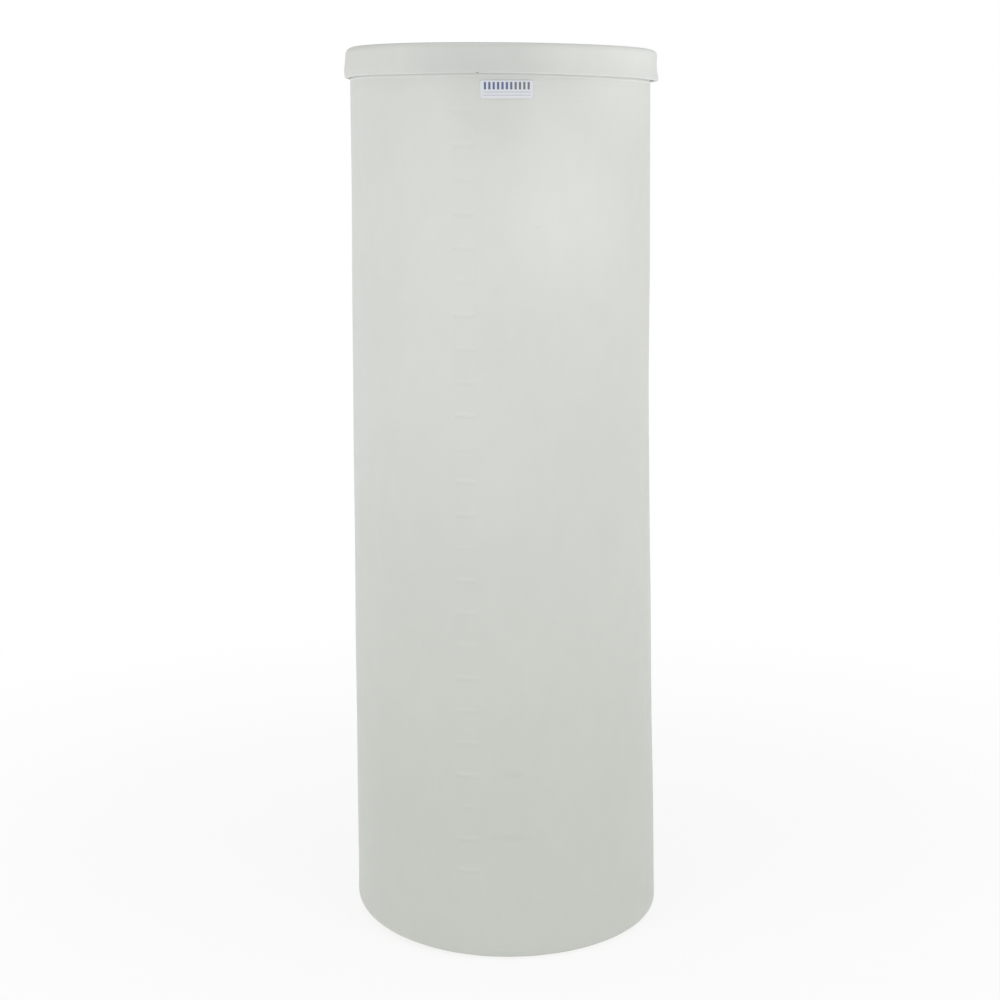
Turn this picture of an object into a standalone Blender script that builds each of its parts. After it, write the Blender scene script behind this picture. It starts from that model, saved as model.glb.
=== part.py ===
"""Vertical storage tank: a one-piece moulded polyethylene tank with a slip-on cover.

Metres, +Z up. The origin is the middle of the base, and the front faces -Y.
The round wall and the cover's rim are split into equal segments about the axis.
"""

import math

import bpy

# Driving dimensions of the tank
INCH = 0.0254
TANK_HEIGHT = 36.0 * INCH
INSIDE_DIAMETER = 12.0 * INCH
TANK_WALL = 5 / 32 * INCH
BASE_SPREAD = 1.02
KNUCKLE_RADIUS = 0.010

# Raised line where the halves of the mould met
MOULD_LINE_HEIGHT = 0.063
MOULD_LINE_WIDTH = 0.005
MOULD_LINE_RISE = 0.0005

# Driving dimensions of the cover
COVER_WALL = 0.0036
COVER_RADIUS = 0.1617
COVER_SHOULDER = 0.006
COVER_DEPTH = 0.031
COVER_FLARE = 0.0023

# Label on the front of the wall, just below the cover
LABEL_WIDTH = 0.052
LABEL_HEIGHT = 0.0178
LABEL_THICKNESS = 0.0003
LABEL_TOP = 0.881
LABEL_TURN = math.radians(2.5)

# How finely the turned shapes are made
SEGMENTS = 12
STEPS_PER_SEGMENT = 6
ARC_STEPS = 4
FLARE_STEPS = 4
LABEL_STEPS = 6
MERGE_DISTANCE = 0.0001
SHARP_ANGLE = math.radians(30)

# Straight stretch between a round corner and the piece that it meets
LAND = 0.001

# Space left between pieces that touch
GAP = 0.0003
SEAT_GAP = 0.0005

RIM_RADIUS = INSIDE_DIAMETER / 2 + TANK_WALL
FRONT = -math.pi / 2
SEGMENT_SWEEP = 2 * math.pi / SEGMENTS

POLYETHYLENE = {"color": (0.71, 0.73, 0.69, 1.0), "roughness": 0.42}
COVER_POLYETHYLENE = {"color": (0.70, 0.71, 0.69, 1.0), "roughness": 0.45}
LABEL_FILM = {"color": (0.90, 0.90, 0.89, 1.0), "roughness": 0.35}


def clear_scene():
    """Remove whatever the open file holds."""
    for obj in list(bpy.data.objects):
        bpy.data.objects.remove(obj, do_unlink=True)


def make_collection(name):
    """Make the collection that holds the parts."""
    collection = bpy.data.collections.new(name)
    bpy.context.scene.collection.children.link(collection)
    return collection


def make_material(name, look):
    """Make a plain plastic from a colour and a roughness."""
    material = bpy.data.materials.new(name)
    material.use_nodes = True
    shader = material.node_tree.nodes["Principled BSDF"]
    shader.inputs["Base Color"].default_value = look["color"]
    shader.inputs["Roughness"].default_value = look["roughness"]
    shader.inputs["Metallic"].default_value = 0.0
    material.diffuse_color = look["color"]
    return material


def wall_radius(height):
    """Outside radius of the wall, which widens evenly from the rim to the base."""
    depth = 1.0 - height / TANK_HEIGHT
    return RIM_RADIUS * (1.0 + (BASE_SPREAD - 1.0) * depth)


def arc(centre_x, centre_z, radius, start, end):
    """Points of a round corner in the profile's plane, from one angle to the other."""
    points = []
    for step in range(ARC_STEPS + 1):
        angle = start + (end - start) * step / ARC_STEPS
        points.append((centre_x + radius * math.cos(angle), centre_z + radius * math.sin(angle)))
    return points


def wall_profile():
    """Outer side of the wall from the cut rim down to the knuckle, with the raised mould line.

    The line stays low and broad enough for the wall's inner side to follow it without a fold.
    """
    half = MOULD_LINE_WIDTH / 2
    crest = half / 2
    stations = [
        (TANK_HEIGHT, 0.0),
        (MOULD_LINE_HEIGHT + half, 0.0),
        (MOULD_LINE_HEIGHT + crest, MOULD_LINE_RISE),
        (MOULD_LINE_HEIGHT - crest, MOULD_LINE_RISE),
        (MOULD_LINE_HEIGHT - half, 0.0),
        (KNUCKLE_RADIUS + LAND + GAP, 0.0),
    ]
    return [(wall_radius(height) + rise, height) for height, rise in stations]


def floor_profile():
    """Under side of the floor: the round knuckle, then the flat base to the axis."""
    edge = wall_radius(KNUCKLE_RADIUS)
    knuckle = arc(edge - KNUCKLE_RADIUS, KNUCKLE_RADIUS, KNUCKLE_RADIUS, 0.0, -math.pi / 2)
    return [(edge, KNUCKLE_RADIUS + LAND)] + knuckle + [(0.0, 0.0)]


def cover_top_height():
    """Height of the cover's flat top above the tank's rim."""
    return SEAT_GAP + COVER_WALL


def cover_top_profile():
    """Flat top of the cover, from the axis out to where its shoulder starts."""
    edge = COVER_RADIUS - COVER_SHOULDER - LAND - GAP
    return [(0.0, cover_top_height()), (edge, cover_top_height())]


def cover_rim_profile():
    """Outer side of the cover's rim: the round shoulder, then the skirt that flares to its lip."""
    top = cover_top_height()
    centre = COVER_RADIUS - COVER_SHOULDER
    shoulder = arc(centre, top - COVER_SHOULDER, COVER_SHOULDER, math.pi / 2, 0.0)
    profile = [(centre - LAND, top)] + shoulder
    skirt = COVER_DEPTH - COVER_SHOULDER
    for step in range(1, FLARE_STEPS + 1):
        share = step / FLARE_STEPS
        profile.append((COVER_RADIUS + COVER_FLARE * share ** 2, top - COVER_SHOULDER - skirt * share))
    return profile


def bake(obj):
    """Turn an object's modifiers into its mesh and shade its round faces smooth."""
    graph = bpy.context.evaluated_depsgraph_get()
    mesh = bpy.data.meshes.new_from_object(obj.evaluated_get(graph))
    mesh.name = obj.name
    obj.modifiers.clear()
    obj.data = mesh
    mesh.shade_smooth()
    mesh.set_sharp_from_angle(angle=SHARP_ANGLE)


def turned_shell(name, collection, material, profile, thickness, start, sweep, steps):
    """Turn a profile about the axis and thicken it inwards.

    The profile lists radius and height down its outer side. start is the angle
    of the first edge about the axis, and sweep is how far the profile turns.
    """
    mesh = bpy.data.meshes.new(name)
    points = [(radius, 0.0, height) for radius, height in profile]
    edges = [(index, index + 1) for index in range(len(points) - 1)]
    mesh.from_pydata(points, edges, [])
    mesh.materials.append(material)
    obj = bpy.data.objects.new(name, mesh)
    collection.objects.link(obj)
    obj.rotation_euler.z = start

    turn = obj.modifiers.new("Turn", "SCREW")
    turn.angle = sweep
    turn.steps = steps
    turn.render_steps = steps
    turn.use_merge_vertices = True
    turn.merge_threshold = MERGE_DISTANCE

    wall = obj.modifiers.new("Thickness", "SOLIDIFY")
    wall.thickness = thickness
    wall.offset = -1.0
    wall.use_even_offset = True
    bake(obj)
    return obj


def ring_of_segments(prefix, collection, material, profile, thickness):
    """Make a round wall as equal segments, the first one centred on the front.

    The end of a segment is square to its last facet, so its inner edge leans past its outer
    one, and the gap is left between the inner edges.
    """
    step = SEGMENT_SWEEP / STEPS_PER_SEGMENT
    lean = thickness * math.sin(step / 2)
    gap_angle = (GAP + 2 * lean) / min(radius for radius, height in profile)
    pieces = []
    for index in range(SEGMENTS):
        start = FRONT + (index - 0.5) * SEGMENT_SWEEP + gap_angle / 2
        name = f"{prefix}_{index + 1:02d}"
        piece = turned_shell(
            name, collection, material, profile, thickness,
            start, SEGMENT_SWEEP - gap_angle, STEPS_PER_SEGMENT,
        )
        pieces.append(piece)
    return pieces


def make_tank(collection):
    """The tank: its floor with the round knuckle, and the wall that stands on it."""
    material = make_material("polyethylene", POLYETHYLENE)
    whole_turn = SEGMENTS * STEPS_PER_SEGMENT
    turned_shell(
        "tank_floor", collection, material, floor_profile(), TANK_WALL,
        FRONT, 2 * math.pi, whole_turn,
    )
    ring_of_segments("wall", collection, material, wall_profile(), TANK_WALL)


def make_cover(collection):
    """The cover: a flat top and a rim, on an empty that marks where it sits on the tank."""
    seat = bpy.data.objects.new("cover_seat", None)
    seat.location = (0.0, 0.0, TANK_HEIGHT)
    collection.objects.link(seat)
    material = make_material("cover_polyethylene", COVER_POLYETHYLENE)
    whole_turn = SEGMENTS * STEPS_PER_SEGMENT
    top = turned_shell(
        "lid_top", collection, material, cover_top_profile(), COVER_WALL,
        FRONT, 2 * math.pi, whole_turn,
    )
    rim = ring_of_segments("lid_rim", collection, material, cover_rim_profile(), COVER_WALL)
    for piece in [top] + rim:
        piece.parent = seat


def make_label(collection):
    """A bare label that follows the wall, a little to the right of the front."""
    material = make_material("label_film", LABEL_FILM)
    outer = wall_radius(LABEL_TOP - LABEL_HEIGHT) + GAP + LABEL_THICKNESS
    sweep = LABEL_WIDTH / outer
    profile = [(outer, LABEL_TOP), (outer, LABEL_TOP - LABEL_HEIGHT)]
    start = FRONT + LABEL_TURN - sweep / 2
    turned_shell("label", collection, material, profile, LABEL_THICKNESS, start, sweep, LABEL_STEPS)


def main():
    """Build the whole tank."""
    clear_scene()
    collection = make_collection("vertical_storage_tank")
    make_tank(collection)
    make_cover(collection)
    make_label(collection)


main()
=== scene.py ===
"""Looks of the vertical storage tank: a moulded polyethylene tank with a slip-on cover.

Metres, +Z up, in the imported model's frame. The front faces -Y. Angles about the axis are
counted from the front towards +X, so the right side as seen from the front is at 90 degrees.
"""

import math

import bpy
import numpy as np
from mathutils import Matrix, Vector


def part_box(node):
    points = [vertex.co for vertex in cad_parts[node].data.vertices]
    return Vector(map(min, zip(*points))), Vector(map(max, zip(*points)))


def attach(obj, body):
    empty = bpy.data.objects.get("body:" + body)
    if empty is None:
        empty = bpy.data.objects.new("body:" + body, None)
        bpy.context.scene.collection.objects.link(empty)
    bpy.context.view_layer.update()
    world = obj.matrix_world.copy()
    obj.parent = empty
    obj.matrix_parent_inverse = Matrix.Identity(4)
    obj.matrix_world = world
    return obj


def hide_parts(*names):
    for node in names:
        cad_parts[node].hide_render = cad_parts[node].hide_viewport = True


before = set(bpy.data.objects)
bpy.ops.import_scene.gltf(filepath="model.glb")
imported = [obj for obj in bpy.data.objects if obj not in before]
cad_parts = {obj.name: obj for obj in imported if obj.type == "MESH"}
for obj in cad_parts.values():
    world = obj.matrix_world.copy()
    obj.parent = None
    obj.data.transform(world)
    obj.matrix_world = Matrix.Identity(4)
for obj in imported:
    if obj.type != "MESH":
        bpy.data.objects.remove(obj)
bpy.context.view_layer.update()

# Sizes that the frame gives
RIM_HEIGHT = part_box("wall_01")[1].z
COVER_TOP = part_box("lid_top")[1].z
COVER_WALL = COVER_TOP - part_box("lid_top")[0].z
COVER_DEPTH = COVER_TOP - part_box("lid_rim_01")[0].z
LABEL_LOW, LABEL_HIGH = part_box("label")

# Sizes of the tank. The camera has no picture shift, and the photograph's outline then asks for
# a tank that is slightly slimmer at the rim and wider at the base than the frame's.
RIM_RADIUS = 0.1520
TANK_WALL = 0.00397
BASE_SPREAD = 1.065
FLOOR_DISH = 0.0006
INNER_KNUCKLE = 0.003

# The rim's rounded edge, from the side up to the top: how far in and how far down
RIM_EDGE = ((0.0, 0.0012), (0.0002, 0.0004), (0.0006, 0.0))

# How this tank departs from a true round one, all within a few millimetres. A share is a
# height as a part of the tank's: the middle and the width of a bulge or hollow.
RIGHT_DRAWN_IN = 0.00185
DRAWN_IN_SHARE = (0.58, 0.2)
RIGHT_SPREAD = 0.0027
SPREAD_SHARE = 0.35
LEFT_BULGE = 0.0008
BULGE_SHARE = (0.39, 0.28)
RIGHT_KNUCKLE = 0.0088
LEFT_KNUCKLE = 0.0160
LEFT_LIFT = 0.0022
TANK_ASIDE = -0.0013

# Faint ripple of the wall: its height, and its waves, each given by how many there are round
# the axis, by how many radians they shift up the wall, and where they start
WALL_RIPPLE = 0.00012
WALL_WAVES = ((3, 9, 0.0), (5, -17, 1.3), (2, 31, 0.4))

# The ridge where the halves of the mould met runs a little out of level, lower on the right
RIDGE_HEIGHT = 0.0650
RIDGE_SLOPE = 0.027
RIDGE_WIDTH = 0.0032
RIDGE_RISE = 0.0005
RIDGE_CLEAR = (math.radians(29), math.radians(44))
RIDGE_FADE = math.radians(8)
RIDGE_FAINT = 0.12

# The cover sits askew on a rim that was cut out of square, lower on the right
TILT = math.radians(0.9)
TILT_DROP = 0.0026

# Sizes of the cover, which is slimmer and shallower than the frame's in the same way
COVER_RADIUS = 0.1578
COVER_FLARE = 0.0021
COVER_SHOULDER = 0.0058
COVER_LIP = 0.0012
COVER_BEAD = 0.0042
LIP_SHORT = 0.0019
INNER_CORNER = 0.0010
COVER_CROWN = 0.0004
FLARE_BEND = 1.6
SKIRT_WAIST = 0.0006

# How this cover departs from a true one: its left end is rounder, its lip is drawn up a little
# at the front, and it droops at its ends
LEFT_SHOULDER = 0.0018
LEFT_LIP = 0.0010
LEFT_LESS_FLARE = 0.05
LEFT_LESS_BEND = 0.5
LEFT_TUCK = 0.0012
TUCK_START = 0.75
FRONT_DRAWN_UP = 0.0012
DRAWN_UP_PLACE = 0.14
DRAWN_UP_WIDTH = 0.38
SIDES_LOWER = 0.0007
RIGHT_DROOP = 0.0006
LEFT_DROOP = 0.0003
DROOP_START = 0.85

# Waves of the lip: their height, how many there are round the axis and where they start
LIP_WAVES = ((0.00025, 3, 0.6), (0.0002, 7, 0.0))

# Graduation marks moulded into the wall: two columns, given by where each starts and ends
# along the wall from the front, how far above the other it sits, and how strongly it shows
MARK_COUNT = 24
MARK_TOP = 0.8532
MARK_PITCH = 0.03175
MARK_GROWTH = 0.000052
MARK_HEIGHT = 0.0040
MARK_RISE = 0.00022
MARK_EDGE = 0.0009
MARK_UNEVEN = 0.25
MARK_UNEVEN_PACE = 2.3
MARK_COLUMNS = (
    (-0.0466, -0.0256, 0.0, 1.0),
    (0.0247, 0.0474, 0.0024, 0.2),
)

# A short upright line beside the marks
LINE_PLACE = -0.0243
LINE_WIDTH = 0.0010
LINE_LOW = 0.658
LINE_HIGH = 0.724
LINE_RISE = 0.00012
LINE_EDGE = 0.0003
LINE_FADE = 0.004

# How finely the meshes are made. Rows near a mark's edge are given in edge widths outwards,
# counted so that the edge itself is at 2. Columns are given in degrees from the front.
ROWS_FROM = 0.030
ROWS_BELOW_RIM = 0.008
PLAIN_ROWS = 30
EDGE_ROWS = (0.7, 1.3, 1.8, 2.3, 2.9, 4.0)
STRIP_ROWS = (0.8785, 0.8915, 0.0006)
RIDGE_ROWS = 18
ROW_APART = 0.0004
MARK_END_STEP = 0.0004
FINE_COLUMNS = (-20.0, 20.0, 1.0)
PLAIN_COLUMNS = (20.0, 339.0, 2.5)
KNUCKLE_STEPS = 10
FLOOR_SHARES = (0.2, 0.4, 0.6, 0.8, 0.92)
INSIDE_ROWS = 14
INSIDE_BELOW_RIM = 0.03
INSIDE_ABOVE_FLOOR = 0.04
INSIDE_KNUCKLE_STEPS = 7
INSIDE_FLOOR_SHARES = (0.8, 0.6, 0.3)
COVER_COLUMNS = 288
TOP_SHARES = (0.1, 0.25, 0.4, 0.55, 0.7, 0.82, 0.92, 0.98)
SHOULDER_STEPS = 10
SKIRT_STEPS = 16
LIP_STEPS = 6
BEAD_STEPS = 4
INSIDE_SKIRT_SHARES = (0.85, 0.6, 0.4, 0.2, 0.0)
CORNER_STEPS = 6
UNDER_TOP_SHARES = (0.9, 0.6, 0.3)
LABEL_COLUMNS = 48
LABEL_ROWS = 16

# Grey smears on the wall: middle, half width and half height, and how strongly each shows.
# The first is a darker line along the label's lower edge.
SMEARS = (
    ((0.0046, 0.8630), (0.032, 0.0014), 0.36),
    ((0.0091, 0.1986), (0.013, 0.004), 0.20),
    ((0.0039, 0.1318), (0.025, 0.005), 0.20),
)

# Pale painted light where the cover's lip shades the wall and on the lip's underside, more so at the
# right: how far below and above the lip's lower edge it reaches on the wall, and how softly it ends
LIP_PAINTED_LIGHT = (0.80, 0.81, 0.79, 1)
LIP_PAINTED_LIGHT_SHARE = 0.34
LIP_PAINTED_LIGHT_RIGHT = 1.3
LIP_PAINTED_LIGHT_BELOW = 0.0026
LIP_PAINTED_LIGHT_ABOVE = 0.0006
LIP_PAINTED_LIGHT_EDGE = 0.0006

# The two plastics: pale and dark tone, least and most roughness, and a shift of their patterns
TANK_PLASTIC = ((0.622, 0.634, 0.603, 1), (0.601, 0.613, 0.583, 1), (0.36, 0.52), 3.1)
COVER_PLASTIC = ((0.600, 0.612, 0.585, 1), (0.577, 0.588, 0.562, 1), (0.40, 0.55), 11.7)
PLASTIC_IOR = 1.5
PLASTIC_SPECULAR = 0.20

# Patterns in the plastics: scale, detail, how each is drawn out along X, Y and Z, roughness
CLOUDS = (7.0, 3.0)
CURDLE = (55.0, 3.0, (1, 1, 1.6))
GRAIN = (420.0, 2.0)
STREAKS = (90.0, 3.0, (1, 1, 14))
SCUFFS = (28.0, 4.0, (1, 1, 0.6), 0.65)
WAVES = (34.0, 1.0)
PEEL = (260.0, 2.0)

# What they add to the tone and to the sheen, and the part of each sum that is used
CLOUDS_SHARE = 0.5
CURDLE_SHARE = 0.32
GRAIN_SHARE = 0.18
TONE_RANGE = (0.32, 0.68)
STREAKS_SHARE = 0.4
SCUFFS_SHARE = 0.6
SHEEN_RANGE = (0.3, 0.7)

# How high their bumps are, and how strong
WAVES_BUMP = (0.0004, 0.7)
PEEL_BUMP = (0.00006, 0.6)
GRAIN_BUMP = (0.00002, 0.6)

# Painted shade that fades along the height, darker towards the base and under the cover, with the
# heights between which it does
LOW_PAINTED_SHADE = (0.943, 0.955, 0.929, 1)
LOW_SHADE_FADE = (0.167, 0.668)
HIGH_PAINTED_SHADE = (0.980, 0.980, 0.983, 1)
HIGH_SHADE_FADE = (0.727, 0.862)

# Patches of painted shade, a dark reflection on the front: middle, half width and half height, and
# their tints. They fade out between two places in Y, so that they show on the front alone; the cover's
# stays off its top.
PATCH_FADE = (-0.05, 0.0)
WALL_FRONT_SHADE = ((-0.013, 0.874), (0.051, 0.083))
WALL_FRONT_SHADE_TINT = (0.965, 0.965, 0.970, 1)
COVER_FRONT_SHADE = ((-0.0235, 0.902), (0.078, 0.080))
COVER_FRONT_SHADE_TINT = (0.915, 0.915, 0.920, 1)
COVER_FRONT_SHADE_TOP = (0.912, 0.9155)

# A fleck on the cover's lip, and flecks in the plastic
LIP_FLECK = ((-0.0229, 0.8872), (0.0016, 0.0016))
LIP_FLECK_COLOR = (0.16, 0.15, 0.13, 1)
LIP_FLECK_SHARE = 0.85
SPECK_SCALE = 26.0
SPECK_RADII = (0.008, 0.022)
SPECK_COLOR = (0.36, 0.35, 0.30, 1)
SPECK_SHARE = 0.55

# Painted shade along the marks' lower edges, in a grey that the smears share, painted light along their
# upper edges, and a patchy band at the foot that is part grime and part painted shade
SHADE_AND_SMEAR_GREY = (0.48, 0.49, 0.46, 1)
MARK_SHADE_SHARE = 0.17
MARK_LIGHT_COLOR = (0.70, 0.71, 0.68, 1)
MARK_LIGHT_SHARE = 0.20
GRIME_AND_SHADE_COLOR = (0.34, 0.32, 0.27, 1)
GRIME_AND_SHADE_HEIGHTS = (0.001, 0.005)
GRIME_AND_SHADE_PATCHES = (60.0, 3.0)
GRIME_AND_SHADE_SHARES = (0.2, 0.6)
PATCHY_RANGE = (0.35, 0.6)

# The label's film
LABEL_WIDTH = 0.0502
LABEL_HEIGHT = 0.0171
LABEL_FILM = 0.00016
LABEL_LIFT = 0.00008
LABEL_CORNER = 0.0015
LABEL_TWIST = 0.006
LABEL_HIGHER = 0.0006
LABEL_ASIDE = -0.0007

# The label's print. Places are shares of the film's width and height: a row of bars that turn
# from blue to grey, and two ruled lines.
FILM_GRAIN = (500.0, 3.0)
FILM_RANGE = (0.3, 0.7)
FILM_TONES = ((0.640, 0.665, 0.690, 1), (0.595, 0.620, 0.645, 1))
FILM_ROUGHNESS = (0.26, 0.36)
FILM_BUMP = (0.00002, 0.5)
PRINT_ACROSS = (0.05, 0.95)
BAR_COUNT = 11
BARS_FROM = 0.067
BARS_ACROSS = 0.9
BARS_UP = (0.48, 0.88)
BAR_SIDES = ((0.0, 0.10), (0.52, 0.62))
BAR_BLUE = (0.030, 0.060, 0.20, 1)
BAR_GREY = (0.09, 0.09, 0.11, 1)
BAR_TURN = (0.50, 0.75)
INK_GRAIN = (1500.0, 1.0)
INK_SHARES = (0.86, 0.92)
RULES_UP = (0.32, 0.15)
RULE_HEIGHT = 0.045
RULE_COLOR = (0.20, 0.22, 0.28, 1)
RULE_SHARE = 0.40
PRINT_EDGE = (0.004, 0.012)

# The camera, which looks along +Y and down
CAMERA_PLACE = (-0.0044, -1.9181, 0.8311)
CAMERA_PITCH = math.radians(11.259)
CAMERA_ROLL = math.radians(-0.384)
CAMERA_LENS = 66.13
SENSOR_WIDTH = 36.0

# Brightness of the studio near the horizon, above it and overhead, and how high a direction
# points (its upward part) where each gives way to the next
HORIZON_LEVEL = 1.0
DOME_LEVEL = 0.31
ZENITH_LEVEL = 1.30
DOME_FADE = (0.10, 0.45)
ZENITH_FADE = (0.65, 0.90)

# The floor: half its width, its paper's tones, its own light, how much of its look that light
# is beside the tank, and the distances between which it takes over
FLOOR_HALF = 30.0
FLOOR_FIBRES = (40.0, 2.0)
FLOOR_TONES = ((0.90, 0.90, 0.90, 1), (0.88, 0.88, 0.88, 1))
FLOOR_ROUGHNESS = 0.9
FLOOR_GLOW = 1.0
FLOOR_SHARE = 0.8
FLOOR_FADE = (0.3, 1.3)

# Softboxes: where each stands, the point it faces, its width and its power
SOFTBOXES = {
    "left": ((-1.0, -0.8, 0.95), (0.0, 0.0, 0.72), 0.90, 4.0),
    "front_right": ((0.95, -0.95, 0.72), (0.0, 0.0, 0.72), 0.80, 1.92),
    "high_right": ((0.75, -0.90, 1.25), (0.0, 0.0, 0.80), 0.70, 1.25),
    "far_right": ((1.20, -0.35, 0.90), (0.0, 0.0, 0.80), 0.70, 1.12),
}

# Spots: where each stands, the point it faces, the radius of its pool there and its power
SPOTS = {
    "wall_glow": ((0.62, -0.95, 0.78), (0.058, -0.142, 0.766), 0.105, 2.42),
    "cover_glow": ((1.00, -0.60, 1.15), (0.137, -0.078, 0.925), 0.100, 8.8),
}

# The size of a spot's own source
SPOT_SOFTNESS = 0.05

QUARTER_TURN = math.pi / 2
WHOLE_TURN = 2 * math.pi


def smooth(low, high, value):
    """0 below low, 1 above high, and a smooth step between them."""
    share = np.clip((value - low) / (high - low), 0.0, 1.0)
    return share * share * (3 - 2 * share)


def band(low, high, edge, value):
    """1 between low and high, 0 outside, with a smooth step of a given width at each end."""
    rise = smooth(low - edge, low + edge, value)
    fall = smooth(high - edge, high + edge, value)
    return rise * (1 - fall)


def hump(value, middle, width):
    """1 at the middle, falling softly to 0 about two widths away."""
    return np.exp(-((value - middle) / width) ** 2)


def right_side(angle):
    """1 at the right, falling to 0 at the front and back."""
    return np.clip(np.sin(angle), 0, 1)


def left_side(angle):
    """1 at the left, falling to 0 at the front and back."""
    return np.clip(-np.sin(angle), 0, 1)


def on_axis(radius, angle, height):
    """Points at a radius and height, at angles from the front towards +X."""
    radius, angle, height = np.broadcast_arrays(radius, angle, height)
    return np.stack([radius * np.sin(angle), -radius * np.cos(angle), height], axis=-1)


# Shapes


def make_object(name, vertices, faces, material):
    """Make a smooth-shaded mesh object."""
    mesh = bpy.data.meshes.new(name)
    mesh.from_pydata([tuple(vertex) for vertex in vertices], [], faces)
    mesh.validate()
    mesh.materials.append(material)
    mesh.shade_smooth()
    obj = bpy.data.objects.new(name, mesh)
    bpy.context.scene.collection.objects.link(obj)
    return obj


def turned(name, rows, material):
    """Make a closed body from rows of points round the axis; the first and last are one point."""
    grid = np.array(rows)
    count, columns, _ = grid.shape
    inner_rows = count - 2
    vertices = list(grid[1:-1].reshape(-1, 3))
    vertices += [grid[0, 0], grid[-1, 0]]
    start = inner_rows * columns
    last = start - columns
    faces = []
    for column in range(columns):
        after = (column + 1) % columns
        faces.append((start, column, after))
        for here in range(0, last, columns):
            below = here + columns
            faces.append((here + column, below + column, below + after, here + after))
        faces.append((last + column, start + 1, last + after))
    return make_object(name, vertices, faces, material)


def write_rows(obj, name, rows):
    """Write an attribute of a turned body, given by row: a row's index and its values."""
    layer = obj.data.attributes.new(name, "FLOAT", "POINT")
    for row, values in rows:
        for column, value in enumerate(values):
            layer.data[(row - 1) * len(values) + column].value = value


def wall_radius(height):
    """Outside radius of a true tank, which widens evenly towards the base."""
    depth = 1.0 - height / RIM_HEIGHT
    return RIM_RADIUS * (1 + (BASE_SPREAD - 1) * depth)


def out_of_round(height, angle):
    """How far this tank's wall stands off the true one."""
    share = height / RIM_HEIGHT
    drawn_in = RIGHT_DRAWN_IN * hump(share, *DRAWN_IN_SHARE)
    spread = RIGHT_SPREAD * smooth(0.0, SPREAD_SHARE, SPREAD_SHARE - share)
    bulge = LEFT_BULGE * hump(share, *BULGE_SHARE)
    offset = right_side(angle) ** 2 * (spread - drawn_in) + left_side(angle) ** 2 * bulge
    ripple = sum(np.sin(turns * angle + climb * share + start) for turns, climb, start in WALL_WAVES)
    return offset + WALL_RIPPLE * ripple


def ridge(height, angle):
    """Relief of the mould ridge, clear at the sides of the front and faint between them."""
    middle = RIDGE_HEIGHT - RIDGE_SLOPE * RIM_RADIUS * np.sin(angle)
    away = np.abs(height - middle) / (RIDGE_WIDTH / 2)
    turned_away = np.abs((angle + math.pi) % WHOLE_TURN - math.pi)
    strength = RIDGE_FAINT + (1 - RIDGE_FAINT) * band(*RIDGE_CLEAR, RIDGE_FADE, turned_away)
    return RIDGE_RISE * strength * (1 - smooth(0.0, 1.0, away))


def mark_heights(above):
    """Heights of a column's marks from the top down; they stand a little wider apart lower down."""
    index = np.arange(MARK_COUNT)
    return MARK_TOP + above - MARK_PITCH * index - MARK_GROWTH * index ** 2


def graduation(height, angle):
    """Relief of the graduation marks and of the line beside them, and where shade and light are painted
    on the marks.

    The painted shading is 1 along a mark's lower edge, for painted shade, and -1 along its upper edge,
    for painted light.
    """
    along_wall = angle * RIM_RADIUS
    half_line = LINE_WIDTH / 2
    relief = LINE_RISE * band(LINE_PLACE - half_line, LINE_PLACE + half_line, LINE_EDGE, along_wall)
    relief = relief * band(LINE_LOW, LINE_HIGH, LINE_FADE, height)
    painted_mark_shading = relief * 0.0
    for start, end, above, strength in MARK_COLUMNS:
        across = band(start, end, MARK_EDGE, along_wall)
        marks = mark_heights(above)
        index = np.abs(marks - height).argmin()
        away = height - marks[index]
        uneven = 1 - MARK_UNEVEN + MARK_UNEVEN * np.sin(MARK_UNEVEN_PACE * index)
        share = strength * uneven * across
        relief = relief + MARK_RISE * share * band(-MARK_HEIGHT / 2, MARK_HEIGHT / 2, MARK_EDGE, away)
        # Painted shade at a mark's lower edge, painted light at its upper edge
        lower = np.exp(-((away + MARK_HEIGHT / 2) / MARK_EDGE) ** 2 / 2)
        upper = np.exp(-((away - MARK_HEIGHT / 2) / MARK_EDGE) ** 2 / 2)
        painted_mark_shading = painted_mark_shading + share * (lower - upper)
    return relief, painted_mark_shading


def wall_rows():
    """Heights of the outer wall's rows from the knuckle up, close together where relief is."""
    heights = list(np.linspace(ROWS_FROM, RIM_HEIGHT - ROWS_BELOW_RIM, PLAIN_ROWS))
    half = MARK_HEIGHT / 2
    for middle in mark_heights(0.0):
        for step in EDGE_ROWS:
            heights += [middle - half + (2 - step) * MARK_EDGE, middle + half + (step - 2) * MARK_EDGE]
    for middle in mark_heights(MARK_COLUMNS[1][2]):
        heights += [middle + half - MARK_EDGE, middle + half, middle + half + MARK_EDGE]
    heights += list(np.arange(*STRIP_ROWS))
    swing = RIDGE_SLOPE * RIM_RADIUS + RIDGE_WIDTH / 2
    heights += list(np.linspace(RIDGE_HEIGHT - swing, RIDGE_HEIGHT + swing, RIDGE_ROWS))
    kept = []
    for height in sorted(heights):
        if not kept or height - kept[-1] > ROW_APART:
            kept.append(height)
    return kept


def wall_columns():
    """Angles of the columns, close together at the front and at the marks' ends."""
    fine = np.radians(np.arange(*FINE_COLUMNS))
    edges = [place / RIM_RADIUS for column in MARK_COLUMNS for place in column[:2]]
    edges += [LINE_PLACE / RIM_RADIUS]
    steps = [edge + step * MARK_END_STEP / RIM_RADIUS for edge in edges for step in (-3, -1, 1, 3)]
    coarse = np.radians(np.arange(*PLAIN_COLUMNS))
    return np.array(sorted(set(np.concatenate([fine, steps, coarse]))))


def rim_height(angle):
    """Height of the cut rim, which is out of square and lower on the right."""
    return RIM_HEIGHT - TILT_DROP - RIM_RADIUS * np.sin(angle) * math.tan(TILT)


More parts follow.
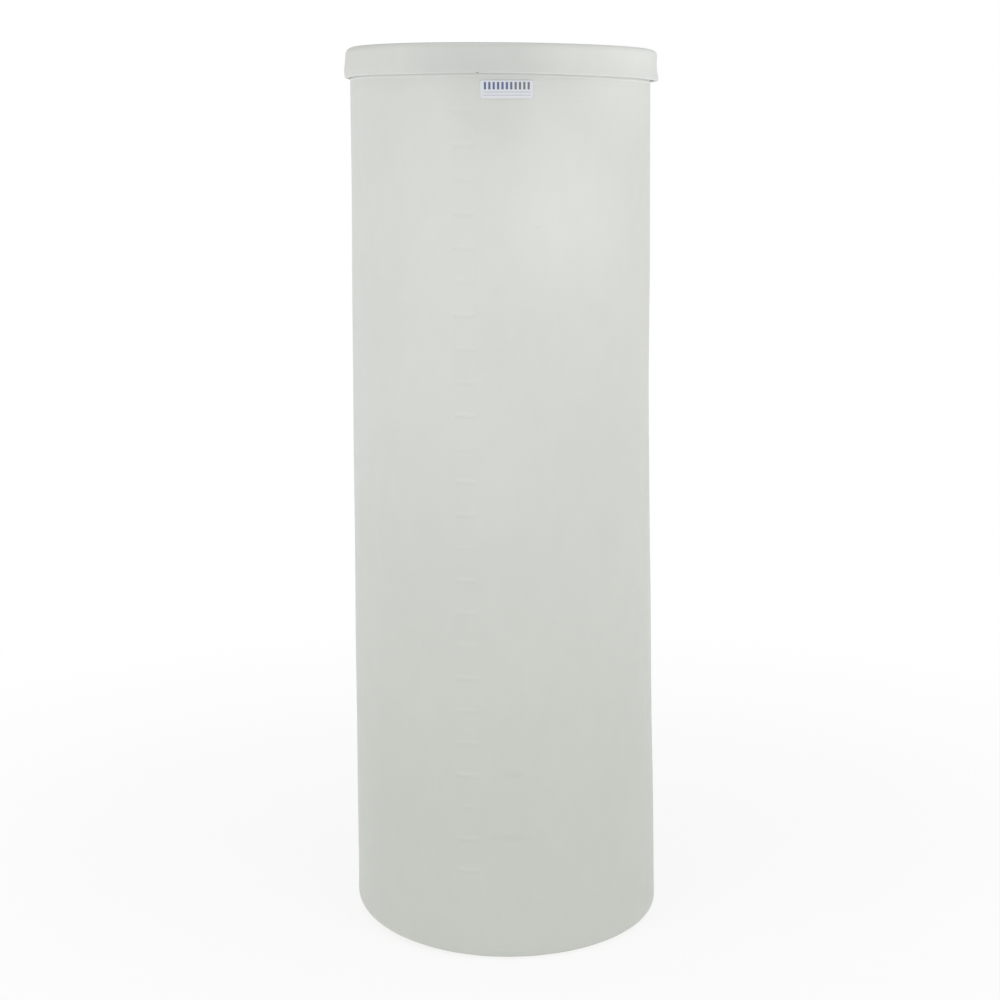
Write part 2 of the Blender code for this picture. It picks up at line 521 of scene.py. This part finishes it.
def make_tank(material):
    """The whole moulding as one closed body: floor, knuckle, wall, cut rim and inside."""
    angles = wall_columns()
    knuckle = RIGHT_KNUCKLE + (LEFT_KNUCKLE - RIGHT_KNUCKLE) * (0.5 - 0.5 * np.sin(angles)) ** 2
    lift = LEFT_LIFT * left_side(angles) ** 2
    edge = wall_radius(0.0) + out_of_round(0.0, angles)
    flat = edge - knuckle
    rows = []
    painted_mark_rows = []
    painted_lip_light = []

    def add(radius, height):
        rows.append(on_axis(radius, angles, height))

    def dish(share):
        return FLOOR_DISH * (1 - share) + lift * share ** 4

    add(0.0, FLOOR_DISH)
    for share in FLOOR_SHARES:
        add(flat * share, dish(share))
    for step in range(KNUCKLE_STEPS + 1):
        turn = QUARTER_TURN * step / KNUCKLE_STEPS
        add(edge - knuckle * (1 - math.sin(turn)), lift + knuckle * (1 - math.cos(turn)))
    for height in wall_rows():
        radius = wall_radius(height) + out_of_round(height, angles)
        relief, painted_mark_shading = graduation(height, angles)
        painted_mark_rows.append((len(rows), painted_mark_shading))
        # Painted light in a strip under the cover's lip, where its shade falls on the wall
        strip = band(-LIP_PAINTED_LIGHT_BELOW, LIP_PAINTED_LIGHT_ABOVE, LIP_PAINTED_LIGHT_EDGE, height - lip_height(angles))
        painted_lip_light.append((len(rows), strip * (1 + LIP_PAINTED_LIGHT_RIGHT * right_side(angles))))
        add(radius + ridge(height, angles) + relief, height)
    outer = wall_radius(RIM_HEIGHT) + out_of_round(RIM_HEIGHT, angles)
    rim = rim_height(angles)
    for inset, drop in RIM_EDGE:
        add(outer - inset, rim - drop)
    for inset, drop in reversed(RIM_EDGE):
        add(outer - TANK_WALL + inset, rim - drop)
    for height in np.linspace(RIM_HEIGHT - INSIDE_BELOW_RIM, INSIDE_ABOVE_FLOOR, INSIDE_ROWS):
        add(wall_radius(height) + out_of_round(height, angles) - TANK_WALL, height)
    inner = np.maximum(knuckle - TANK_WALL, INNER_KNUCKLE)
    for step in range(INSIDE_KNUCKLE_STEPS + 1):
        turn = QUARTER_TURN * (1 - step / INSIDE_KNUCKLE_STEPS)
        radius = edge - TANK_WALL - inner * (1 - math.sin(turn))
        add(radius, TANK_WALL + lift + inner * (1 - math.cos(turn)))
    for share in INSIDE_FLOOR_SHARES:
        add(flat * share, TANK_WALL + dish(share))
    add(0.0, TANK_WALL + FLOOR_DISH)
    obj = turned("tank_moulding", rows, material)
    obj.data.transform(Matrix.Translation((TANK_ASIDE, 0, 0)))
    write_rows(obj, "painted_mark_shading", painted_mark_rows)
    write_rows(obj, "painted_lip_light", painted_lip_light)
    return obj


def cover_depth(angle):
    """How far the lip's lower edge lies below the cover's top, before the cover is tilted."""
    wander = sum(rise * np.sin(turns * angle + start) for rise, turns, start in LIP_WAVES)
    drawn_up = FRONT_DRAWN_UP * hump(angle, DRAWN_UP_PLACE, DRAWN_UP_WIDTH)
    lower = SIDES_LOWER * np.sin(angle) ** 2
    lower = lower + RIGHT_DROOP * smooth(DROOP_START, 1.0, right_side(angle))
    lower = lower + LEFT_DROOP * smooth(DROOP_START, 1.0, left_side(angle))
    return COVER_DEPTH - LIP_SHORT + wander - drawn_up + lower


def lip_height(angle):
    """Height of the lip's lower edge on the tank, with the cover tilted."""
    slope = COVER_RADIUS * np.sin(angle) * math.tan(TILT)
    return COVER_TOP - TILT_DROP - cover_depth(angle) - slope


def make_cover(material):
    """The cover as one closed body: crowned top, round shoulder, flared skirt and round lip."""
    angles = np.linspace(-math.pi, math.pi, COVER_COLUMNS, endpoint=False)
    left = left_side(angles)
    shoulder = COVER_SHOULDER + LEFT_SHOULDER * left ** 2
    centre = COVER_RADIUS - shoulder
    lip = COVER_LIP + LEFT_LIP * left ** 2
    skirt = cover_depth(angles) - shoulder - lip
    flare = COVER_FLARE * (1 - LEFT_LESS_FLARE * left)
    rows = []
    painted_lip_light = []

    def add(radius, depth):
        rows.append(on_axis(radius, angles, -np.asarray(depth, dtype=float)))

    def side(share):
        waist = SKIRT_WAIST * (1 - left) * np.sin(math.pi * share)
        flared = flare * share ** (FLARE_BEND - LEFT_LESS_BEND * left) - waist
        return COVER_RADIUS + flared - LEFT_TUCK * left ** 2 * smooth(TUCK_START, 1.0, share)

    add(0.0, 0.0)
    for share in TOP_SHARES:
        add(centre * share, COVER_CROWN * share ** 2)
    for step in range(SHOULDER_STEPS + 1):
        turn = QUARTER_TURN * step / SHOULDER_STEPS
        drop = COVER_CROWN + (shoulder - COVER_CROWN) * (1 - math.cos(turn))
        add(centre + shoulder * math.sin(turn), drop)
    for step in range(1, SKIRT_STEPS + 1):
        share = step / SKIRT_STEPS
        add(side(share), shoulder + skirt * share)
    for step in range(1, LIP_STEPS + 1):
        turn = QUARTER_TURN * step / LIP_STEPS
        add(side(1.0) - lip * (1 - math.cos(turn)), shoulder + skirt + lip * math.sin(turn))
        painted_lip_light.append((len(rows) - 1, step / LIP_STEPS))
    for step in range(BEAD_STEPS + 1):
        painted_lip_light.append((len(rows), 1.0))
        turn = QUARTER_TURN * (1 - step / BEAD_STEPS)
        inset = COVER_BEAD - COVER_LIP * (1 - math.cos(turn))
        add(side(1.0) - inset, shoulder + skirt + lip - COVER_LIP * (1 - math.sin(turn)))
    for share in INSIDE_SKIRT_SHARES:
        add(side(share) - COVER_WALL, shoulder + skirt * share)
    corner = COVER_RADIUS - COVER_WALL - INNER_CORNER
    for step in range(1, CORNER_STEPS + 1):
        turn = QUARTER_TURN * (1 - step / CORNER_STEPS)
        drop = INNER_CORNER * (1 - math.cos(turn))
        add(corner + INNER_CORNER * math.sin(turn), COVER_WALL + COVER_CROWN + drop)
    for share in UNDER_TOP_SHARES:
        add(centre * share, COVER_WALL + COVER_CROWN * share ** 2)
    add(0.0, COVER_WALL)
    obj = turned("cover", rows, material)
    # Painted light on the lip's lower rounding and bead, more so at the right
    strength = 1 + LIP_PAINTED_LIGHT_RIGHT * right_side(angles)
    write_rows(obj, "painted_lip_light", [(row, share * strength) for row, share in painted_lip_light])
    obj.data.transform(Matrix.Rotation(TILT, 4, "Y"))
    obj.data.transform(Matrix.Translation((0, 0, COVER_TOP - TILT_DROP)))
    return obj


def label_point(across, up, layer):
    """Where a point of the label lies: its place on the film, and how far it is off the wall."""
    middle = (LABEL_LOW + LABEL_HIGH) / 2
    angle = math.atan2(middle.x + LABEL_ASIDE, -LABEL_LOW.y)
    twisted_across = across + up * LABEL_TWIST
    twisted_up = up - across * LABEL_TWIST
    angle += twisted_across / RIM_RADIUS
    height = middle.z + LABEL_HIGHER + twisted_up
    radius = float(wall_radius(height) + out_of_round(height, angle)) + layer
    return on_axis(radius, angle, height) + np.array([TANK_ASIDE, 0, 0])


def make_label(material):
    """A film label with round corners, which lies on the wall."""
    columns, rows = LABEL_COLUMNS, LABEL_ROWS
    vertices = []
    places = []
    for layer in (LABEL_FILM + LABEL_LIFT, LABEL_LIFT):
        for row in range(rows + 1):
            for column in range(columns + 1):
                across = (column / columns - 0.5) * LABEL_WIDTH
                up = (0.5 - row / rows) * LABEL_HEIGHT
                over_across = max(0.0, abs(across) - (LABEL_WIDTH / 2 - LABEL_CORNER))
                over_up = max(0.0, abs(up) - (LABEL_HEIGHT / 2 - LABEL_CORNER))
                reach = math.hypot(over_across, over_up)
                if reach > LABEL_CORNER:
                    back = 1 - LABEL_CORNER / reach
                    across -= math.copysign(over_across * back, across)
                    up -= math.copysign(over_up * back, up)
                vertices.append(label_point(across, up, layer))
                places.append((across / LABEL_WIDTH + 0.5, up / LABEL_HEIGHT + 0.5))
    size = (rows + 1) * (columns + 1)

    def at(row, column, layer):
        return layer * size + row * (columns + 1) + column

    faces = []
    for row in range(rows):
        for column in range(columns):
            square = [(row, column), (row + 1, column), (row + 1, column + 1), (row, column + 1)]
            faces.append([at(*corner, 0) for corner in square])
            faces.append([at(*corner, 1) for corner in reversed(square)])
    border = [(0, column) for column in range(columns)]
    border += [(row, columns) for row in range(rows)]
    border += [(rows, column) for column in range(columns, 0, -1)]
    border += [(row, 0) for row in range(rows, 0, -1)]
    for here, after in zip(border, border[1:] + border[:1]):
        faces.append([at(*here, 0), at(*after, 0), at(*after, 1), at(*here, 1)])
    obj = make_object("bare_label", vertices, faces, material)
    layer = obj.data.uv_layers.new(name="film")
    for loop in obj.data.loops:
        layer.data[loop.index].uv = places[loop.vertex_index]
    return obj


# Materials


class Nodes:
    """Short ways to add and join a material's nodes."""

    def __init__(self, name):
        self.material = bpy.data.materials.new(name)
        self.material.use_nodes = True
        self.tree = self.material.node_tree
        self.shader = self.tree.nodes["Principled BSDF"]

    def add(self, kind, **settings):
        node = self.tree.nodes.new(kind)
        for key, value in settings.items():
            setattr(node, key, value)
        return node

    def join(self, source, target):
        self.tree.links.new(source, target)

    def value(self, operation, first, second=None):
        """A Math node; each of its inputs is a number or another node's output."""
        node = self.add("ShaderNodeMath", operation=operation)
        for index, item in enumerate((first, second)):
            if item is None:
                continue
            if isinstance(item, (int, float)):
                node.inputs[index].default_value = item
            else:
                self.join(item, node.inputs[index])
        return node.outputs[0]

    def noise(self, place, scale, detail=2.0, stretch=(1, 1, 1), roughness=0.5):
        """Noise at a scale, drawn out along the axes by stretch."""
        mapping = self.add("ShaderNodeMapping")
        mapping.inputs["Scale"].default_value = tuple(1 / part for part in stretch)
        self.join(place, mapping.inputs["Vector"])
        node = self.add("ShaderNodeTexNoise")
        node.inputs["Scale"].default_value = scale
        node.inputs["Detail"].default_value = detail
        node.inputs["Roughness"].default_value = roughness
        self.join(mapping.outputs[0], node.inputs["Vector"])
        return node.outputs["Fac"]

    def spread(self, source, low, high, start=0.0, end=1.0):
        """Map a value from start to end smoothly onto low to high, clamped."""
        node = self.add("ShaderNodeMapRange", interpolation_type="SMOOTHSTEP")
        node.inputs["From Min"].default_value = start
        node.inputs["From Max"].default_value = end
        node.inputs["To Min"].default_value = low
        node.inputs["To Max"].default_value = high
        self.join(source, node.inputs["Value"])
        return node.outputs["Result"]

    def shade(self, factor, first, second, blend="MIX"):
        """Mix two colours, each of them a tuple or another node's output."""
        node = self.add("ShaderNodeMix", data_type="RGBA", blend_type=blend)
        for socket, item in (("Factor_Float", factor), ("A_Color", first), ("B_Color", second)):
            target = next(entry for entry in node.inputs if entry.identifier == socket)
            if isinstance(item, bpy.types.NodeSocket):
                self.join(item, target)
            else:
                target.default_value = item
        return next(entry for entry in node.outputs if entry.identifier == "Result_Color")

    def bump(self, height, distance, strength=1.0, normal=None):
        """A Bump node over an earlier one."""
        node = self.add("ShaderNodeBump")
        node.inputs["Strength"].default_value = strength
        node.inputs["Distance"].default_value = distance
        self.join(height, node.inputs["Height"])
        if normal is not None:
            self.join(normal, node.inputs["Normal"])
        return node.outputs["Normal"]


def smudge(nodes, parts, place, size):
    """1 at the middle of a soft patch on the front, 0 outside it."""
    across = nodes.value("DIVIDE", nodes.value("SUBTRACT", parts["X"], place[0]), size[0])
    up = nodes.value("DIVIDE", nodes.value("SUBTRACT", parts["Z"], place[1]), size[1])
    reach = nodes.value("ADD", nodes.value("MULTIPLY", across, across), nodes.value("MULTIPLY", up, up))
    soft = nodes.spread(reach, 1.0, 0.0)
    return nodes.value("MULTIPLY", soft, nodes.spread(parts["Y"], 1.0, 0.0, *PATCH_FADE))


def polyethylene(name, light, dark, roughness, seed):
    """Milky unpigmented polyethylene: cloudy, faintly specked, with an uneven satin skin.

    Returns the nodes, the colour so far, the place on the object and that place's X, Y and Z.
    """
    nodes = Nodes(name)
    object_place = nodes.add("ShaderNodeTexCoord").outputs["Object"]
    shifted = nodes.add("ShaderNodeVectorMath", operation="ADD")
    shifted.inputs[1].default_value = (seed, seed * 0.37, seed * 0.71)
    nodes.join(object_place, shifted.inputs[0])
    place = shifted.outputs[0]
    split = nodes.add("ShaderNodeSeparateXYZ")
    nodes.join(object_place, split.inputs[0])

    clouds = nodes.value("MULTIPLY", nodes.noise(place, *CLOUDS), CLOUDS_SHARE)
    curdle = nodes.value("MULTIPLY", nodes.noise(place, *CURDLE), CURDLE_SHARE)
    grain = nodes.noise(place, *GRAIN)
    tone = nodes.value("ADD", clouds, curdle)
    tone = nodes.value("ADD", tone, nodes.value("MULTIPLY", grain, GRAIN_SHARE))
    color = nodes.shade(nodes.spread(tone, 0.0, 1.0, *TONE_RANGE), light, dark)

    specks = nodes.add("ShaderNodeTexVoronoi")
    specks.inputs["Scale"].default_value = SPECK_SCALE
    nodes.join(place, specks.inputs["Vector"])
    speck = nodes.spread(specks.outputs["Distance"], 1.0, 0.0, *SPECK_RADII)
    color = nodes.shade(nodes.value("MULTIPLY", speck, SPECK_SHARE), color, SPECK_COLOR)

    streaks = nodes.value("MULTIPLY", nodes.noise(place, *STREAKS), STREAKS_SHARE)
    scuffs = nodes.value("MULTIPLY", nodes.noise(place, *SCUFFS), SCUFFS_SHARE)
    sheen = nodes.value("ADD", streaks, scuffs)
    nodes.join(nodes.spread(sheen, *roughness, *SHEEN_RANGE), nodes.shader.inputs["Roughness"])

    waves = nodes.bump(nodes.noise(place, *WAVES), *WAVES_BUMP)
    peel = nodes.bump(nodes.noise(place, *PEEL), *PEEL_BUMP, waves)
    nodes.join(nodes.bump(grain, *GRAIN_BUMP, peel), nodes.shader.inputs["Normal"])
    nodes.shader.inputs["IOR"].default_value = PLASTIC_IOR
    nodes.shader.inputs["Specular IOR Level"].default_value = PLASTIC_SPECULAR
    return nodes, color, object_place, split.outputs


def paint_lip_light(nodes, color):
    """Paint light into the colour where the cover's lip shades the wall and on the lip's underside."""
    painted_lip_light = nodes.add("ShaderNodeAttribute", attribute_name="painted_lip_light").outputs["Fac"]
    return nodes.shade(nodes.value("MULTIPLY", painted_lip_light, LIP_PAINTED_LIGHT_SHARE), color, LIP_PAINTED_LIGHT)


def tank_polyethylene():
    """The tank's plastic: painted shade towards the base, under the cover and on the front, and grey
    smears.

    It has painted light in a strip under the cover's lip and along the marks' upper edges, and painted
    shade along the marks' lower edges.
    """
    nodes, color, place, parts = polyethylene("moulded_polyethylene", *TANK_PLASTIC)
    # Painted shade, darker towards the base and under the cover
    depth = nodes.spread(parts["Z"], 1.0, 0.0, *LOW_SHADE_FADE)
    color = nodes.shade(depth, color, LOW_PAINTED_SHADE, "MULTIPLY")
    shade_below_cover = nodes.spread(parts["Z"], 0.0, 1.0, *HIGH_SHADE_FADE)
    color = nodes.shade(shade_below_cover, color, HIGH_PAINTED_SHADE, "MULTIPLY")
    # A patch of painted shade, a dark reflection, on the front near the top
    front_shade = smudge(nodes, parts, *WALL_FRONT_SHADE)
    color = nodes.shade(front_shade, color, WALL_FRONT_SHADE_TINT, "MULTIPLY")
    color = paint_lip_light(nodes, color)
    # Painted shade along each mark's lower edge and painted light along its upper edge
    painted_mark_shading = nodes.add("ShaderNodeAttribute", attribute_name="painted_mark_shading").outputs["Fac"]
    color = nodes.shade(nodes.spread(painted_mark_shading, 0.0, MARK_SHADE_SHARE), color, SHADE_AND_SMEAR_GREY)
    color = nodes.shade(nodes.spread(painted_mark_shading, MARK_LIGHT_SHARE, 0.0, -1.0, 0.0), color, MARK_LIGHT_COLOR)
    for spot, size, share in SMEARS:
        smear = nodes.value("MULTIPLY", smudge(nodes, parts, spot, size), share)
        color = nodes.shade(smear, color, SHADE_AND_SMEAR_GREY)
    # A patchy dark band at the foot: part grime, part painted shade where the base meets the floor
    patchy = nodes.spread(nodes.noise(place, *GRIME_AND_SHADE_PATCHES), *GRIME_AND_SHADE_SHARES, *PATCHY_RANGE)
    foot = nodes.spread(parts["Z"], 1.0, 0.0, *GRIME_AND_SHADE_HEIGHTS)
    color = nodes.shade(nodes.value("MULTIPLY", patchy, foot), color, GRIME_AND_SHADE_COLOR)
    nodes.join(color, nodes.shader.inputs["Base Color"])
    return nodes.material


def cover_polyethylene():
    """The cover's plastic, with painted shade on the front of its side, painted light on its lip, and
    one fleck on the lip.
    """
    nodes, color, _, parts = polyethylene("cover_polyethylene", *COVER_PLASTIC)
    # A patch of painted shade, a dark reflection, on the front of the cover's side
    front_shade = smudge(nodes, parts, *COVER_FRONT_SHADE)
    below_top = nodes.spread(parts["Z"], 1.0, 0.0, *COVER_FRONT_SHADE_TOP)
    front_shade = nodes.value("MULTIPLY", front_shade, below_top)
    color = nodes.shade(front_shade, color, COVER_FRONT_SHADE_TINT, "MULTIPLY")
    color = paint_lip_light(nodes, color)
    fleck = smudge(nodes, parts, *LIP_FLECK)
    color = nodes.shade(nodes.value("MULTIPLY", fleck, LIP_FLECK_SHARE), color, LIP_FLECK_COLOR)
    nodes.join(color, nodes.shader.inputs["Base Color"])
    return nodes.material


def box_on_film(nodes, parts, low, high):
    """1 between two heights on the label, as far across as its print goes, and 0 outside."""
    def between(source, start, end, edge):
        after_start = nodes.spread(source, 0.0, 1.0, start - edge, start + edge)
        before_end = nodes.spread(source, 1.0, 0.0, end - edge, end + edge)
        return nodes.value("MULTIPLY", after_start, before_end)

    across = between(parts["X"], *PRINT_ACROSS, PRINT_EDGE[0])
    up = between(parts["Y"], low, high, PRINT_EDGE[1])
    return nodes.value("MULTIPLY", across, up)


def label_film():
    """White film printed with a row of bars, blue to grey, and two ruled lines to write on."""
    nodes = Nodes("label_film")
    film = nodes.add("ShaderNodeUVMap", uv_map="film").outputs["UV"]
    split = nodes.add("ShaderNodeSeparateXYZ")
    nodes.join(film, split.inputs[0])
    place = nodes.add("ShaderNodeTexCoord").outputs["Object"]
    parts = split.outputs
    grain = nodes.noise(place, *FILM_GRAIN)
    color = nodes.shade(nodes.spread(grain, 0.0, 1.0, *FILM_RANGE), *FILM_TONES)
    ink = nodes.spread(nodes.noise(place, *INK_GRAIN), *INK_SHARES, *PATCHY_RANGE)
    along = nodes.value("SUBTRACT", parts["X"], BARS_FROM)
    along = nodes.value("FRACT", nodes.value("MULTIPLY", along, BAR_COUNT / BARS_ACROSS))
    bars = nodes.spread(along, 0.0, 1.0, *BAR_SIDES[0])
    bars = nodes.value("MULTIPLY", bars, nodes.spread(along, 1.0, 0.0, *BAR_SIDES[1]))
    bars = nodes.value("MULTIPLY", box_on_film(nodes, parts, *BARS_UP), bars)
    bar_color = nodes.shade(nodes.spread(parts["X"], 0.0, 1.0, *BAR_TURN), BAR_BLUE, BAR_GREY)
    color = nodes.shade(nodes.value("MULTIPLY", bars, ink), color, bar_color)
    for low in RULES_UP:
        rule = box_on_film(nodes, parts, low, low + RULE_HEIGHT)
        color = nodes.shade(nodes.value("MULTIPLY", rule, RULE_SHARE), color, RULE_COLOR)
    nodes.join(color, nodes.shader.inputs["Base Color"])
    rough = nodes.spread(grain, *FILM_ROUGHNESS, *FILM_RANGE)
    nodes.join(rough, nodes.shader.inputs["Roughness"])
    nodes.join(nodes.bump(grain, *FILM_BUMP), nodes.shader.inputs["Normal"])
    return nodes.material


def floor_paper():
    """Pale paper, lit from below, that brightens to plain white away from the tank."""
    nodes = Nodes("floor_paper")
    place = nodes.add("ShaderNodeTexCoord").outputs["Object"]
    length = nodes.add("ShaderNodeVectorMath", operation="LENGTH")
    nodes.join(place, length.inputs[0])
    fibres = nodes.noise(place, *FLOOR_FIBRES)
    color = nodes.shade(nodes.spread(fibres, 0.0, 1.0), *FLOOR_TONES)
    nodes.join(color, nodes.shader.inputs["Base Color"])
    nodes.shader.inputs["Roughness"].default_value = FLOOR_ROUGHNESS
    nodes.shader.inputs["Specular IOR Level"].default_value = 0.0
    glow = nodes.add("ShaderNodeEmission")
    glow.inputs["Strength"].default_value = FLOOR_GLOW
    blend = nodes.add("ShaderNodeMixShader")
    output = nodes.tree.nodes["Material Output"]
    nodes.join(nodes.spread(length.outputs["Value"], FLOOR_SHARE, 1.0, *FLOOR_FADE), blend.inputs[0])
    nodes.join(nodes.shader.outputs[0], blend.inputs[1])
    nodes.join(glow.outputs[0], blend.inputs[2])
    nodes.join(blend.outputs[0], output.inputs["Surface"])
    return nodes.material


# Camera, light and floor


def make_camera():
    """The photograph's view, from a little below the cover down to the middle of the tank."""
    data = bpy.data.cameras.new("camera")
    data.lens = CAMERA_LENS
    data.sensor_width = SENSOR_WIDTH
    camera = bpy.data.objects.new("camera", data)
    aim = Matrix.Rotation(QUARTER_TURN - CAMERA_PITCH, 4, "X") @ Matrix.Rotation(CAMERA_ROLL, 4, "Z")
    camera.matrix_world = Matrix.Translation(CAMERA_PLACE) @ aim
    bpy.context.scene.collection.objects.link(camera)
    bpy.context.scene.camera = camera


def make_softbox(name, place, target, size, power):
    """A soft square light that points at a target."""
    data = bpy.data.lights.new(name, "AREA")
    data.shape = "SQUARE"
    data.size = size
    data.energy = power
    light = bpy.data.objects.new(name, data)
    light.location = place
    light.rotation_mode = "QUATERNION"
    light.rotation_quaternion = (Vector(target) - Vector(place)).to_track_quat("-Z", "Y")
    bpy.context.scene.collection.objects.link(light)


def make_spot(name, place, target, radius, power):
    """A narrow light whose soft-edged pool has a given radius at the target."""
    data = bpy.data.lights.new(name, "SPOT")
    reach = (Vector(target) - Vector(place)).length
    data.spot_size = 2 * math.atan(radius / reach)
    data.spot_blend = 1.0
    data.shadow_soft_size = SPOT_SOFTNESS
    data.energy = power
    light = bpy.data.objects.new(name, data)
    light.location = place
    light.rotation_mode = "QUATERNION"
    light.rotation_quaternion = (Vector(target) - Vector(place)).to_track_quat("-Z", "Y")
    bpy.context.scene.collection.objects.link(light)


def make_world():
    """A white studio, dimmer above the horizon and bright again overhead."""
    world = bpy.data.worlds.new("studio")
    bpy.context.scene.world = world
    world.use_nodes = True
    tree = world.node_tree
    background = tree.nodes["Background"]
    place = tree.nodes.new("ShaderNodeTexCoord")
    split = tree.nodes.new("ShaderNodeSeparateXYZ")
    tree.links.new(place.outputs["Generated"], split.inputs[0])

    def step(low, high, start, end):
        node = tree.nodes.new("ShaderNodeMapRange")
        node.inputs["From Min"].default_value = low
        node.inputs["From Max"].default_value = high
        node.inputs["To Min"].default_value = start
        node.inputs["To Max"].default_value = end
        tree.links.new(split.outputs["Z"], node.inputs["Value"])
        return node.outputs["Result"]

    total = tree.nodes.new("ShaderNodeMath")
    tree.links.new(step(*DOME_FADE, HORIZON_LEVEL, DOME_LEVEL), total.inputs[0])
    tree.links.new(step(*ZENITH_FADE, 0.0, ZENITH_LEVEL - DOME_LEVEL), total.inputs[1])
    tree.links.new(total.outputs[0], background.inputs["Strength"])
    background.inputs["Color"].default_value = (1, 1, 1, 1)


def make_floor():
    """A plain pale floor."""
    mesh = bpy.data.meshes.new("floor")
    half = FLOOR_HALF
    corners = [(-half, -half, 0), (half, -half, 0), (half, half, 0), (-half, half, 0)]
    mesh.from_pydata(corners, [], [(0, 1, 2, 3)])
    mesh.materials.append(floor_paper())
    floor = bpy.data.objects.new("floor", mesh)
    bpy.context.scene.collection.objects.link(floor)


bpy.context.scene.view_settings.view_transform = "Standard"
make_camera()
make_world()
make_floor()
for name, (place, target, size, power) in SOFTBOXES.items():
    make_softbox(name, place, target, size, power)
for name, (place, target, radius, power) in SPOTS.items():
    make_spot(name, place, target, radius, power)

tank = make_tank(tank_polyethylene())
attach(tank, "tank")
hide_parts("tank_floor", *[f"wall_{index:02d}" for index in range(1, 13)])

cover = make_cover(cover_polyethylene())
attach(cover, "lid")
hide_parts("lid_top", *[f"lid_rim_{index:02d}" for index in range(1, 13)])

label = make_label(label_film())
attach(label, "tank")
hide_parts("label")
